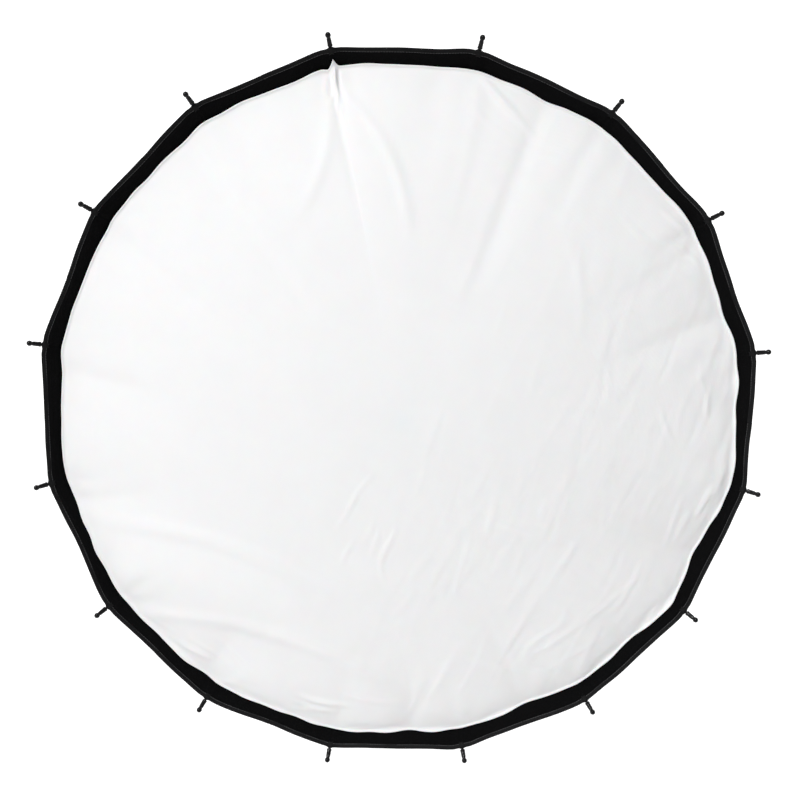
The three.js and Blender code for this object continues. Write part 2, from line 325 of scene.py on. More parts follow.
def make_shell_nylon():
    recipe = Recipe("black_nylon", (0.006, 0.006, 0.0065), 0.7)
    recipe.tint(recipe.noise(60 * MM), (0.0045, 0.0045, 0.005), (0.0075, 0.0075, 0.008))
    recipe.roughen(recipe.noise(25 * MM), 0.58, 0.78)
    recipe.bump(recipe.weave(0.9 * MM), 0.15 * MM, 0.5)
    recipe.bump(recipe.noise(14 * MM, 3), 0.8 * MM, 0.35)
    recipe.set(Specular_IOR_Level=0.12, Sheen_Weight=0.01, Sheen_Roughness=0.4)
    return recipe.material


def make_hem_nylon():
    recipe = Recipe("hem_nylon", (0.008, 0.008, 0.009), 0.6)
    recipe.tint(recipe.noise(9 * MM), (0.006, 0.006, 0.007), (0.011, 0.011, 0.012))
    recipe.bump(recipe.weave(1.1 * MM), 0.2 * MM, 0.6)
    return recipe.material


def make_silver():
    recipe = Recipe("silver_cloth", (0.72, 0.73, 0.75), 0.33, 0.85)
    recipe.tint(recipe.noise(80 * MM), (0.66, 0.67, 0.69), (0.76, 0.77, 0.79))
    pebbles = recipe.node("ShaderNodeTexVoronoi")
    recipe.feed(pebbles.inputs["Vector"], recipe.place)
    set_inputs(pebbles, Scale=1 / (2.6 * MM))
    recipe.bump(pebbles.outputs["Distance"], 0.4 * MM, 0.7)
    recipe.roughen(recipe.noise(30 * MM), 0.28, 0.42)
    return recipe.material


def make_loop_tape():
    """Short looped pile: dark, dull, with a little fuzz."""
    recipe = Recipe("loop_tape", (0.004, 0.004, 0.0045), 0.95)
    pile = recipe.noise(1.6 * MM, 5, 0.7)
    recipe.tint(pile, (0.0012, 0.0012, 0.0014), (0.0035, 0.0035, 0.0038))
    recipe.bump(pile, 0.7 * MM, 0.8)
    recipe.bump(recipe.noise(12 * MM, 2), 0.6 * MM, 0.3)
    recipe.set(Specular_IOR_Level=0.08)
    return recipe.material


def crumple(recipe, turn, size, stretch):
    """Ridges that run mostly one way, as in cloth that was packed away folded."""
    turned = recipe.node("ShaderNodeMapping", vector_type="TEXTURE")
    set_inputs(turned, Rotation=(0, turn, 0), Scale=(1, 1, stretch))
    recipe.feed(turned.inputs["Vector"], recipe.place)
    ridges = recipe.node("ShaderNodeTexNoise", noise_type="RIDGED_MULTIFRACTAL", normalize=True)
    recipe.feed(ridges.inputs["Vector"], turned.outputs["Vector"])
    set_inputs(ridges, Scale=1 / size, Detail=2.5, Distortion=0.4)
    return ridges.outputs["Fac"]


def slack_side(recipe):
    """0 to the upper left, where the cloth is tight, and 1 to the lower right."""
    split = recipe.node("ShaderNodeSeparateXYZ")
    recipe.feed(split.inputs[0], recipe.place)
    lowered = recipe.math("MULTIPLY", split.outputs["Z"], 0.8)
    slant = recipe.math("SUBTRACT", split.outputs["X"], lowered)
    spread = recipe.node("ShaderNodeMapRange", interpolation_type="SMOOTHSTEP")
    recipe.feed(spread.inputs["Value"], slant)
    set_inputs(spread, From_Min=-0.2, From_Max=0.4, To_Min=0.12)
    return spread.outputs["Result"]


def make_white_cloth(name, color):
    recipe = Recipe(name, color, 0.75)
    dark = tuple(0.985 * channel for channel in color)
    recipe.tint(recipe.noise(45 * MM, 3), dark, color)
    recipe.bump(recipe.weave(0.8 * MM), 0.08 * MM, 0.35)
    slack = slack_side(recipe)
    steep = crumple(recipe, math.radians(24), 26 * MM, 3.2)
    level = crumple(recipe, math.radians(-68), 40 * MM, 3.0)
    recipe.bump(recipe.math("MULTIPLY", steep, slack), 2.4 * MM, 0.8)
    recipe.bump(recipe.math("MULTIPLY", level, slack), 2.4 * MM, 0.6)
    recipe.set(Specular_IOR_Level=0.3, Sheen_Weight=0.1, Sheen_Roughness=0.5)
    recipe.set(Subsurface_Weight=0.15, Subsurface_Scale=2 * MM)
    return recipe.material


def make_strap():
    """Ribbed white elastic."""
    recipe = Recipe("white_elastic", (0.7, 0.7, 0.7), 0.7)
    recipe.bump(recipe.weave(1.6 * MM), 0.3 * MM, 0.8)
    recipe.tint(recipe.noise(6 * MM), (0.64, 0.64, 0.64), (0.72, 0.72, 0.72))
    return recipe.material


def make_thread_and_highlight():
    # Grey thread. Its grey is partly a painted highlight: along the hem's inner edge it stands in for
    # the light that the fold of the hem catches.
    recipe = Recipe("grey_thread", (0.022, 0.0225, 0.024), 0.6)
    recipe.bump(recipe.noise(0.5 * MM, 2), 0.1 * MM, 0.6)
    recipe.set(Sheen_Weight=0.3)
    return recipe.material


def make_tab_webbing():
    recipe = Recipe("tab_webbing", (0.006, 0.006, 0.0065), 0.7)
    recipe.bump(recipe.noise(0.8 * MM, 3), 0.2 * MM, 0.7)
    recipe.set(Specular_IOR_Level=0.15)
    return recipe.material


def make_rod_coat():
    recipe = Recipe("rod_coat", (0.014, 0.014, 0.015), 0.32, 0.2)
    recipe.roughen(recipe.noise(6 * MM), 0.25, 0.42)
    recipe.bump(recipe.noise(1.5 * MM), 0.04 * MM, 0.3)
    return recipe.material


def make_plastic(name, color, roughness, grain=0.5 * MM):
    recipe = Recipe(name, color, roughness)
    worn = tuple(1.5 * channel for channel in color)
    recipe.tint(recipe.noise(20 * MM), color, worn)
    recipe.bump(recipe.noise(grain, 3, 0.6), 0.06 * MM, 0.4)
    recipe.roughen(recipe.noise(10 * MM), roughness - 0.06, roughness + 0.08)
    return recipe.material


def make_tip_gloss():
    recipe = Recipe("tip_gloss", (0.004, 0.004, 0.0045), 0.2)
    recipe.roughen(recipe.noise(3 * MM), 0.14, 0.28)
    recipe.bump(recipe.noise(1.2 * MM), 0.03 * MM, 0.3)
    recipe.set(Specular_IOR_Level=0.2)
    return recipe.material


def make_metal(name, color, roughness, streak="Y"):
    """Turned or drawn metal: fine streaks and soft patches of wear."""
    recipe = Recipe(name, color, roughness, 1.0)
    recipe.tint(recipe.noise(12 * MM), tuple(0.85 * c for c in color), color)
    recipe.bump(recipe.threads(0.35 * MM, streak), 0.02 * MM, 0.4)
    recipe.roughen(recipe.noise(4 * MM), roughness - 0.07, roughness + 0.1)
    return recipe.material


look = {
    "shell": make_shell_nylon(),
    "hem": make_hem_nylon(),
    "silver": make_silver(),
    "tape": make_loop_tape(),
    "diffuser": make_white_cloth("diffuser_white", (0.86, 0.86, 0.865)),
    "baffle": make_white_cloth("baffle_white", (0.82, 0.82, 0.82)),
    "strap": make_strap(),
    "thread": make_thread_and_highlight(),
    "tab": make_tab_webbing(),
    "rod": make_rod_coat(),
    "hub": make_plastic("hub_plastic", (0.018, 0.018, 0.019), 0.5),
    "bracket": make_plastic("bracket_plastic", (0.022, 0.022, 0.024), 0.45),
    "collar": make_plastic("collar_plastic", (0.06, 0.062, 0.068), 0.42),
    "tip": make_tip_gloss(),
    "alloy": make_metal("cast_alloy", (0.45, 0.455, 0.47), 0.4),
    "steel": make_metal("hinge_steel", (0.35, 0.355, 0.37), 0.3),
}

# ---- Mesh helpers ----


def make_mesh(name, points, faces):
    mesh = bpy.data.meshes.new(name)
    mesh.from_pydata([tuple(point) for point in points], [], faces)
    return mesh


def evaluated_mesh(piece):
    """What a piece looks like with its modifiers applied."""
    graph = bpy.context.evaluated_depsgraph_get()
    return bpy.data.meshes.new_from_object(piece.evaluated_get(graph))


def mesh_piece(name, points, faces, material, body, slot):
    """A smooth mesh piece that rides on a body."""
    mesh = make_mesh(name, points, faces)
    mesh.polygons.foreach_set("use_smooth", [True] * len(mesh.polygons))
    mesh.materials.append(material)
    mesh.validate()
    mesh.update()
    piece = add_object(name, mesh)
    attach(piece, body)
    return piece


def grid_faces(rows, columns, closed=False, start=0):
    """Faces of a grid of points that was listed row by row."""
    faces = []
    last = columns if closed else columns - 1
    for row in range(rows - 1):
        for column in range(last):
            beside = (column + 1) % columns
            here, above = start + row * columns, start + (row + 1) * columns
            faces.append((here + column, here + beside, above + beside, above + column))
    return faces


def even(low, high, count):
    return [low + (high - low) * k / (count - 1) for k in range(count)]


def declare_sheet(piece, width):
    """Adds up the flat area of what is modelled, and keeps nothing. The width, the cut size, is not
    used.
    """
    area = sum(face.area for face in piece.data.polygons)


# ---- The cloth wall ----

# Beside each rod lies a leaning plane, where the cloth would pleat between two rods. The edge of the
# strip that stays with a rod is placed in that plane; the half panels are not squashed towards it.
PLEAT_LEAN = 0.25
STRIP_HALF = 12 * MM  # half the width of the strip that stays with a rod, at the mouth
STRIP_WIDENS = 4 * MM  # how much further from the rod its edge is at the hub
STRIP_COLUMNS = 10
PANEL_COLUMNS = 10
SEAM_HALF = 7.5 * MM  # from a rod to the seams of its channel
RIDGE_WIDTH = 4.5 * MM

# The seed and the looseness say where and how much a layer puckers.
Layer = namedtuple("Layer", "name path material slot seed loose")


def panel_side(index, side):
    """Unit vector from a rod towards its neighbour on one side, along the flat panel."""
    return (outward(rod_angle(index + side)) - outward(rod_angle(index))).normalized()


def pleat_axis(index, side):
    """The axis square to the leaning plane beside a rod, in which the strip's edge lies."""
    direction = outward(rod_angle(index))
    across = BACK.cross(direction).normalized()
    if across.dot(panel_side(index, side)) < 0:
        across = -across
    along = direction * math.sin(ROD_SLOPE) - BACK * math.cos(ROD_SLOPE)
    tilt = STRIP_WIDENS / ROD_LENGTH
    return (across - behind_rod(index) * PLEAT_LEAN + along * tilt).normalized()


def strip_half(index, side, d):
    """Half the width of the strip that stays with a rod: its edge lies in the pleat's plane."""
    axis = pleat_axis(index, side)
    gain = axis.dot(panel_side(index, side))
    to_mouth = (rod_point(index, ROD_LENGTH) - rod_point(index, d)).dot(axis)
    return STRIP_HALF + to_mouth / gain


def half_width(d):
    return rod_curve(d)[0] * math.sin(TURN / 2)


def sag(w, d):
    """How far the tight cloth draws in between two rods."""
    along = min(max(d / ROD_LENGTH, 0), 1)
    share = min(abs(w) / half_width(d), 1)
    return 7 * MM * math.sin(math.pi * along) * math.sin(share * math.pi / 2) ** 2


def puckers(index, w, d, seed):
    """Small waves beside the seams, and broader ones over the panel."""
    spot = Vector((index * 3.1 + seed, d / (16 * MM), w / (30 * MM)))
    seam = bell(abs(w) - SEAM_HALF - 1 * MM, 6 * MM) * smooth(abs(w), 5 * MM, SEAM_HALF)
    broad = Vector((index * 1.7 + seed, d / (70 * MM), w / (26 * MM)))
    return 0.35 * MM * seam * noise.noise(spot) + 0.9 * MM * noise.noise(broad)


def wall_point(index, side, w, d, offset, ridge):
    """A point of the cloth, w to one side of a rod. A positive offset lies outside the rods.
    The ridge is how far the rod inside lifts the cloth; the corner at the mouth is rounded."""
    slope = slope_at(d)
    corner_cut = max(16 * MM - w, 0) ** 2 / (2 * 50 * MM) * (1 - bell(w, 3.5 * MM))
    corner_cut *= smooth(d, ROD_LENGTH - 90 * MM, ROD_LENGTH - 20 * MM)
    place = rod_point(index, d) + panel_side(index, side) * w
    direction = Vector((place.x, 0, place.z)).normalized()
    normal = direction * math.cos(slope) + BACK * math.sin(slope)
    forward = direction * math.sin(slope) - BACK * math.cos(slope)
    angle = math.atan2(place.z, place.x)
    uneven = 2.4 * MM * noise.noise(Vector((math.cos(angle) * 7, math.sin(angle) * 7, 5.2)))
    uneven *= smooth(d, ROD_LENGTH - 60 * MM, ROD_LENGTH) * (1 - bell(w, 9 * MM))
    lift = offset + ridge * bell(w, RIDGE_WIDTH)
    return place + normal * lift - direction * corner_cut + forward * uneven


def shell_path():
    """(d, offset, ridge) from the hub to the mouth, over the edge and back inside as a hem."""
    path = []
    for d in even(5.5 * MM, ROD_LENGTH - 1 * MM, 47):
        rear = 11.5 * MM * (1 - smooth(d, 12 * MM, 92 * MM))
        path.append((d, 0.8 * MM + rear, 2.2 * MM * smooth(d, 40 * MM, 80 * MM)))
    for angle in even(math.radians(72), math.radians(-72), 7):
        d = ROD_LENGTH - 1.2 * MM + 1.5 * MM * math.cos(angle)
        across = 1.3 * MM * math.sin(angle)
        path.append((d, across - 0.4 * MM, 2.0 * MM * math.sin(angle)))
    for d in even(ROD_LENGTH - 1.6 * MM, ROD_LENGTH - HEM_WIDTH - 3 * MM, 3):
        path.append((d, -1.7 * MM, -1.6 * MM))
    return path


def lining_path():
    ends = (SOCKET_END + 14 * MM, ROD_LENGTH - LIP_WIDTH + 4 * MM)
    return [(d, -0.8 * MM, -1.7 * MM) for d in even(*ends, 34)]


def tape_path():
    ends = (ROD_LENGTH - LIP_WIDTH, ROD_LENGTH - HEM_WIDTH)
    path = [(d, -2.5 * MM, -1.5 * MM) for d in even(*ends, 10)]
    path.append((ROD_LENGTH - HEM_WIDTH + 0.5 * MM, -1.9 * MM, -1.5 * MM))
    return path


def cloth_columns(index, side, d, strip):
    """Distances to the side of the rod: across the strip, or from its edge to mid-panel."""
    edge = min(strip_half(index, side, d), 0.9 * half_width(d))
    if strip:
        return even(0, edge, STRIP_COLUMNS)
    return even(edge, half_width(d), PANEL_COLUMNS)


def cloth_point(layer, index, side, w, row):
    d, offset, ridge = row
    extra = puckers(index, w, d, layer.seed) * layer.loose - sag(w, d)
    return wall_point(index, side, w, d, offset + extra, ridge)


def face_towards(piece, direction):
    """Turns all faces round if most of them look away from a direction."""
    facing = sum(face.normal.dot(direction) * face.area for face in piece.data.polygons)
    if facing < 0:
        piece.data.flip_normals()


def strip_piece(layer, index):
    """The strip of cloth that is sewn round a rod, and stays with it."""
    points = []
    for row in layer.path:
        left = cloth_columns(index, 1, row[0], True)
        right = cloth_columns(index, -1, row[0], True)
        points += [cloth_point(layer, index, 1, w, row) for w in reversed(left)]
        points += [cloth_point(layer, index, -1, w, row) for w in right[1:]]
    faces = grid_faces(len(layer.path), 2 * STRIP_COLUMNS - 1)
    name = f"{layer.name}_strip_{index + 1:02d}"
    return mesh_piece(name, points, faces, layer.material, ROD_NAMES[index], layer.slot)


def half_panel_piece(layer, index, side):
    """The cloth from a strip's edge to the middle of the panel."""
    points = []
    for row in layer.path:
        widths = cloth_columns(index, side, row[0], False)
        points += [cloth_point(layer, index, side, w, row) for w in widths]
    faces = grid_faces(len(layer.path), PANEL_COLUMNS)
    letter = "a" if side > 0 else "b"
    name = f"{layer.name}_panel_{index + 1:02d}{letter}"
    piece = mesh_piece(name, points, faces, layer.material, ROD_NAMES[index], layer.slot)
    fold_into_pleat(piece, index, side)
    return piece


def fold_into_pleat(piece, index, side):
    edge = rod_point(index, ROD_LENGTH) + panel_side(index, side) * STRIP_HALF
    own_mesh(piece)


def cloth_layer(layer, node):
    """One layer of the wall. The shell faces out, and the layers inside it face in."""
    first, last = min(row[0] for row in layer.path), max(row[0] for row in layer.path)
    for index in range(RODS):
        strip = strip_piece(layer, index)
        declare_sheet(strip, 2 * STRIP_HALF + 16 * MM)
        pieces = [strip]
        for side in (1, -1):
            panel = half_panel_piece(layer, index, side)
            declare_sheet(panel, half_width(last))
            pieces.append(panel)
        outside = behind_rod(index)
        for piece in pieces:
            face_towards(piece, outside if layer.name == "shell" else -outside)
            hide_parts(node)


shell = Layer("shell", shell_path(), look["shell"], "shell_nylon", 0.0, 1.0)
lining = Layer("lining", lining_path(), look["silver"], "silver_lining", 7.7, 1.0)
tape = Layer("tape", tape_path(), look["tape"], "loop_tape", 0.0, 0.4)
cloth_layer(shell, "outer_shell")
cloth_layer(lining, "silver_lining")
cloth_layer(tape, "lip_loop_tape")

# ---- White cloths ----

SPOKES = 16  # columns of a white cloth between two rods
DIFFUSER_SET_BACK = 20.5 * MM  # from the mouth to the diffuser's hem, along the wall
HEM_ROLL = 1.4 * MM
HEM_STEP = 2.5 * MM  # how far the cloth lies behind its hem
GATHER_ANGLE = rod_angle(RODS - 1)  # the corner where spare cloth was pushed together
GATHER_CROWD = 2.2  # how strongly the columns crowd together there
DIFFUSER_SECTORS = 48
STRAP_WIDTH = 18 * MM


def around(angle, radius, seed):
    """Noise that closes on itself round the mouth."""
    return noise.noise(Vector((math.cos(angle) * radius, math.sin(angle) * radius, seed)))


def column_angle(column, spokes):
    """The columns are even, except that they crowd towards the gathered corner."""
    sector, step = divmod(column, spokes)
    share = step / spokes
    if sector == RODS - 1:
        share = 1 - (1 - share) ** GATHER_CROWD
    if sector == 0:
        share = share**GATHER_CROWD
    return GATHER_ANGLE + TURN * (sector + share)


def softened_polygon(angle, radius):
    """The radius of a sixteen-sided outline with rounded corners."""
    from_corner = abs((angle - rod_angle(0) + TURN / 2) % TURN - TURN / 2)
    flat = radius * math.cos(TURN / 2) / math.cos(TURN / 2 - from_corner)
    return flat - 0.005 * radius * bell(from_corner, 0.035)


def disc_mesh(name, rows, columns, point):
    """A middle point and rings of points, placed by point(row, column). It looks to the front."""
    points = [point(0, 0)]
    for row in range(1, rows + 1):
        points += [point(row, column) for column in range(columns)]
    middle = [(0, 1 + column, 1 + (column + 1) % columns) for column in range(columns)]
    rings = [face[::-1] for face in grid_faces(rows, columns, True, 1)]
    return make_mesh(name, points, middle + rings)


def hem_wave(angle):
    """How unevenly the diffuser's hem was pressed on: nearer the mouth (+) or further in (-)."""
    return 6 * MM * around(angle, 5, 2.4) + 4.2 * MM * around(angle, 13, 8.1)


def gather(angle):
    """A notch of spare cloth at one corner, with a dip on both sides."""
    away = (angle - GATHER_ANGLE + math.pi) % (2 * math.pi) - math.pi
    arc = away * MOUTH_RADIUS
    peak = 9 * MM * max(0, 1 - abs(arc) / (6 * MM)) - 1.6 * MM * bell(arc - 2.5 * MM, 1.0 * MM)
    return peak - 5 * MM * bell(arc - 7.5 * MM, 1.7 * MM) - 2 * MM * bell(arc + 5 * MM, 1.5 * MM)


def hem_place(angle):
    """(r, depth) of the diffuser's hem on the loop tape."""
    d = ROD_LENGTH - DIFFUSER_SET_BACK + hem_wave(angle) + gather(angle)
    r, depth = rod_curve(d)
    lift = -4.4 * MM
    r = softened_polygon(angle, r + lift * math.cos(slope_at(d)))
    return r, depth - lift * math.sin(slope_at(d))


PLANE_DEPTH = rod_curve(ROD_LENGTH - DIFFUSER_SET_BACK)[1] - HEM_STEP
CLOTH_ROWS = 54
ROLL_ROWS = 6


def diffuser_point(row, column):
    """The cloth before it settles: almost flat, with its hem rolled at the edge."""
    angle = column_angle(column, SPOKES)
    edge, depth = hem_place(angle)
    if row > CLOTH_ROWS:
        turn = math.pi * (1.2 - 1.25 * (row - CLOTH_ROWS - 1) / (ROLL_ROWS - 1))
        r = edge - HEM_ROLL + HEM_ROLL * math.sin(turn)
        return outward(angle) * r - BACK * (depth - HEM_ROLL * math.cos(turn))
    share = row / CLOTH_ROWS
    inner_edge = edge - 2.2 * HEM_ROLL
    r = inner_edge * (1 - (1 - share) ** 1.25)
    x, z = math.cos(angle) * r, math.sin(angle) * r
    plane = PLANE_DEPTH + (depth - HEM_STEP - PLANE_DEPTH) * share**8
    step = HEM_STEP * (1 - smooth(edge - r, 2.0 * HEM_ROLL, 6 * MM))
    start = 14 * MM * (1 - share**2.5) + 2 * MM * noise.noise(Vector((x * 7, z * 7, 1.5)))
    return outward(angle) * r - BACK * (plane + step + start * (1 - share**6))


def settle(cloth, pinned):
    """Lets the slack cloth fall forward and down in its fixed hem, and keeps the result."""
    scene = bpy.context.scene
    scene.gravity = (1.0, -4.4, -4.8)
    cloth.vertex_groups.new(name="hem").add(pinned, 1.0, "REPLACE")
    modifier = cloth.modifiers.new("settle", "CLOTH")
    settings = modifier.settings
    settings.quality = 5
    settings.mass = 0.1
    settings.tension_stiffness = 25
    settings.compression_stiffness = 25
    settings.shear_stiffness = 8
    settings.bending_stiffness = 0.3
    settings.air_damping = 2
    settings.vertex_group_mass = "hem"
    settings.shrink_min = -0.002
    last = 30
    modifier.point_cache.frame_start = 1
    modifier.point_cache.frame_end = last
    for number in range(1, last + 1):
        scene.frame_set(number)
    settled = evaluated_mesh(cloth)
    scene.frame_set(1)
    return settled


# Folds left by packing: (bearing, distance from the axis, scatter, run, count, length, width,
# height), in degrees and mm. A bearing of 0 is to the right and 90 is up.
FOLD_FIELDS = (
    (72, 398, 20, -42, 6, 110, 5.0, 1.7),
    (34, 405, 26, -40, 6, 80, 4.5, 1.2),
    (6, 388, 55, 94, 16, 62, 4.0, 0.8),
    (-8, 305, 60, 66, 14, 58, 4.5, 0.7),
    (-83, 165, 62, 62, 14, 60, 4.5, 0.7),
    (-52, 215, 62, 66, 14, 60, 4.5, 0.7),
    (-47, 396, 52, 43, 14, 95, 4.5, 1.0),
    (-19, 398, 40, 66, 10, 65, 4.5, 1.0),
    (-95, 402, 46, -11, 9, 85, 5.0, 1.2),
    (-125, 390, 40, -32, 6, 80, 5.0, 0.9),
    (101.5, 412, 7, -84, 7, 52, 2.8, 1.8),
    (170, 405, 60, 85, 6, 45, 4.0, 0.6),
)

# Long soft folds: (bearing and distance of the start, run, length, width, height).
LONG_FOLDS = (
    (100.5, 400, -64, 190, 8.0, 2.4),
    (102.5, 400, -106, 160, 10.0, 1.3),
    (199, 415, -18, 350, 13.0, 2.4),
    (218, 418, -17, 370, 12.0, 2.2),
    (82, 340, -35, 200, 12.0, 1.0),
    (50, 300, -80, 120, 9.0, 0.8),
    (206, 405, -30, 440, 58.0, 7.0),
)


def packing_folds():
    """(start, run, length, width, height, bow) of every fold, in metres."""
    chance = random.Random(5)
    folds = []
    for bearing, distance, scatter, run, count, length, width, height in FOLD_FIELDS:
        middle = outward(math.radians(bearing)) * distance * MM
        for _ in range(count):
            lean = math.radians(run + chance.gauss(0, 9))
            reach = length * MM * chance.uniform(0.6, 1.3)
            shift = Vector((chance.gauss(0, scatter), 0, chance.gauss(0, scatter))) * MM
            start = middle + shift - outward(lean) * reach / 2
            high = height * MM * chance.uniform(0.5, 1.2)
            bow = chance.gauss(0, 0.05)
            folds.append((start, outward(lean), reach, width * MM, high, bow))
    for bearing, distance, run, length, width, height in LONG_FOLDS:
        start = outward(math.radians(bearing)) * distance * MM
        direction = outward(math.radians(run))
        folds.append((start, direction, length * MM, width * MM, height * MM, 0.09))
    return folds


def add_fold(relief, x, z, fold):
    """A ridge along a slightly bowed line, with a shallow valley on both sides."""
    start, run, length, width, height, bow = fold
    along = ((x - start.x) * run.x + (z - start.z) * run.z) / length
    across = (z - start.z) * run.x - (x - start.x) * run.z
    across = across - bow * length * np.sin(np.pi * along)
    inside = np.clip(along, 0, 1)
    fade = (4 * inside * (1 - inside)) ** 0.7
    swell = np.exp(-((across / width) ** 2)) * (1 - 0.8 * (across / width) ** 2)
    relief += height * fade * swell


def corner_fans(x, z):
    """Short pleats that fan out from each corner, where the cloth is pulled."""
    total = np.zeros_like(x)
    for index in range(RODS):
        inward = -outward(rod_angle(index))
        corner = -inward * (MOUTH_RADIUS - 20 * MM)
        gap_x, gap_z = x - corner.x, z - corner.z
        reach = np.hypot(gap_x, gap_z)
        forward = gap_x * inward.x + gap_z * inward.z
        beside = gap_z * inward.x - gap_x * inward.z
        lean = np.arctan2(beside, forward)
        fan = np.sin(lean * 8 + index * 2.3) * np.exp(-((lean / 1.0) ** 2))
        size = 0.5 + 0.35 * noise.noise(Vector((index * 1.3, 0.4, 0.2)))
        rise = np.clip(reach / (25 * MM), 0, 1)
        total += size * MM * fan * rise * np.exp(-((reach / (55 * MM)) ** 2))
    return total


def crease(mesh):
    """Presses the packing folds into the settled cloth. The hem stays as it is."""
    count = len(mesh.vertices)
    place = np.empty(count * 3)
    mesh.vertices.foreach_get("co", place)
    place = place.reshape(count, 3)
    x, z = place[:, 0].copy(), place[:, 2].copy()
    relief = corner_fans(x, z)
    for fold in packing_folds():
        add_fold(relief, x, z, fold)
    for number in range(count):
        angle = math.atan2(z[number], x[number])
        rim = hem_place(angle)[0] - math.hypot(x[number], z[number])
        relief[number] *= smooth(rim, 3.5 * MM, 14 * MM)
    place[:, 1] -= relief
    mesh.vertices.foreach_set("co", place.ravel())
    mesh.update()


def refined(mesh, levels):
    """The mesh with each face split and smoothed."""
    holder = add_object("holder", mesh)
    holder.modifiers.new("finer", "SUBSURF").levels = levels
    finer = evaluated_mesh(holder)
    bpy.data.objects.remove(holder)
    return finer


def cut_sectors(name, whole, borders, material, body, slot):
    """Cuts a disc into sectors. Each keeps the whole cloth's normals, so that no join shows. Gives
    each piece with the angle it spans."""
    start = borders[0]
    sectors = len(borders)
    groups = [[] for _ in range(sectors)]
    for face in whole.polygons:
        angle = (math.atan2(face.center.z, face.center.x) - start) % (2 * math.pi)
        sector = sum(1 for border in borders[1:] if (border - start) <= angle)
        groups[sector].append(tuple(face.vertices))
    pieces = []
    for number, group in enumerate(groups):
        used = sorted({corner for face in group for corner in face})
        renumber = {old: new for new, old in enumerate(used)}
        faces = [tuple(renumber[corner] for corner in face) for face in group]
        points = [whole.vertices[old].co for old in used]
        normals = [whole.vertices[old].normal for old in used]
        title = f"{name}_{number + 1:02d}"
        piece = mesh_piece(title, points, faces, material, body, slot)
        piece.data.normals_split_custom_set_from_vertices(normals)
        after = borders[number + 1] if number + 1 < sectors else start + 2 * math.pi
        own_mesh(piece)
        pieces.append((piece, after - borders[number]))
    return pieces


def make_diffuser():
    """One white cloth, stuck on just inside the mouth: a rolled hem on the tape, and a slack,
    creased middle."""
    columns = RODS * SPOKES
    rows = CLOTH_ROWS + ROLL_ROWS
    mesh = disc_mesh("diffuser_flat", rows, columns, diffuser_point)
    cloth = add_object("diffuser_flat", mesh)
    first_pinned = 1 + (CLOTH_ROWS - 1) * columns
    settled = settle(cloth, list(range(first_pinned, len(mesh.vertices))))
    whole = refined(settled, 1)
    bpy.data.objects.remove(cloth)
    crease(whole)
    spots = [column_angle(column, SPOKES) for column in range(columns)]
    wanted = [GATHER_ANGLE + 2 * math.pi * k / DIFFUSER_SECTORS for k in range(DIFFUSER_SECTORS)]
    borders = [min(spots, key=lambda spot: abs(spot - angle)) for angle in wanted]
    pieces = cut_sectors(
        "diffuser", whole, borders, look["diffuser"], "diffuser", "diffuser_cloth"
    )
    for piece, spread in pieces:
        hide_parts("front_diffuser")
        declare_sheet(piece, MOUTH_RADIUS * spread)


def make_baffle():
    """The second white cloth, inside the box."""
    spokes, rows = 6, 22
    columns = RODS * spokes
    angles = [GATHER_ANGLE + TURN * column / spokes for column in range(columns)]

    def point(row, column):
        angle = angles[column]
        edge = softened_polygon(angle, BAFFLE_RADIUS)
        r = edge * row / rows
        x, z = math.cos(angle) * r, math.sin(angle) * r
        relief = 1.6 * MM * noise.noise(Vector((x * 9, z * 9, 3.3))) * smooth(edge - r, 0, 40 * MM)
        return outward(angle) * r - BACK * (BAFFLE_DEPTH - 0.5 * MM + relief)

    whole = disc_mesh("baffle_flat", rows, columns, point)
    whole.update()
    borders = angles[::spokes]
    pieces = cut_sectors(
        "baffle", whole, borders, look["baffle"], "hub", "baffle_cloth"
    )
    for piece, spread in pieces:
        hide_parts("inner_baffle")
        declare_sheet(piece, BAFFLE_RADIUS * spread)


def baffle_strap(index):
    """An elastic strap that ties a corner of the second cloth to the wall."""
    direction = outward(rod_angle(index))
    across = BACK.cross(direction).normalized()
    slope = math.asin(math.sin(start_slope) - (BAFFLE_DEPTH - PIVOT_DEPTH) / arc_radius)
    wall = PIVOT_RADIUS + arc_radius * (math.cos(slope) - math.cos(start_slope))
    first, last = BAFFLE_RADIUS - 30 * MM, wall - 5 * MM
    points = []
    for r in even(first, last, 13):
        share = (r - first) / (last - first)
        slack = 2 * MM * math.sin(math.pi * share) * smooth(share, 0.4, 0.7)
        for w in even(-STRAP_WIDTH / 2, STRAP_WIDTH / 2, 5):
            points.append(direction * r + across * w - BACK * (BAFFLE_DEPTH + 1.2 * MM - slack))
    name = f"baffle_strap_{index + 1:02d}"
    faces = grid_faces(13, 5)
    strap = mesh_piece(name, points, faces, look["strap"], "hub", "baffle_cloth")
    face_towards(strap, -BACK)
    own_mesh(strap)
    declare_sheet(strap, STRAP_WIDTH)


make_diffuser()
make_baffle()
for number in range(0, RODS, 2):
    baffle_strap(number)

# ---- Turned parts ----

CUFF_PLEATS = 96


def turned_piece(name, outline, segments, wobble, slot):
    """A closed outline of (r, depth) turned about the lamp axis, with a wobble in its radius."""
    points = []
    for row, (r, depth) in enumerate(outline):
        for step in range(segments):
            angle = 2 * math.pi * step / segments
            points.append(outward(angle) * (r + wobble(angle, row)) - BACK * depth)
    faces = grid_faces(len(outline) + 1, segments, True)
    closed = [tuple(corner % len(points) for corner in face) for face in faces]
    piece = mesh_piece(name, points, closed, look["hem"], "hub", slot)
    fix_normals(piece)


def fix_normals(piece):
    edit = bmesh.new()
    edit.from_mesh(piece.data)
    bmesh.ops.recalc_face_normals(edit, faces=edit.faces)
    edit.to_mesh(piece.data)
    edit.free()


def soften(piece, width=0.5 * MM):
    """Crisp edges with a small round that catches the light."""
    piece.data.set_sharp_from_angle(angle=math.radians(32))
    bevel = piece.modifiers.new("edges", "BEVEL")
    bevel.width = width
    bevel.segments = 2
    bevel.limit_method = "ANGLE"
    bevel.angle_limit = math.radians(35)


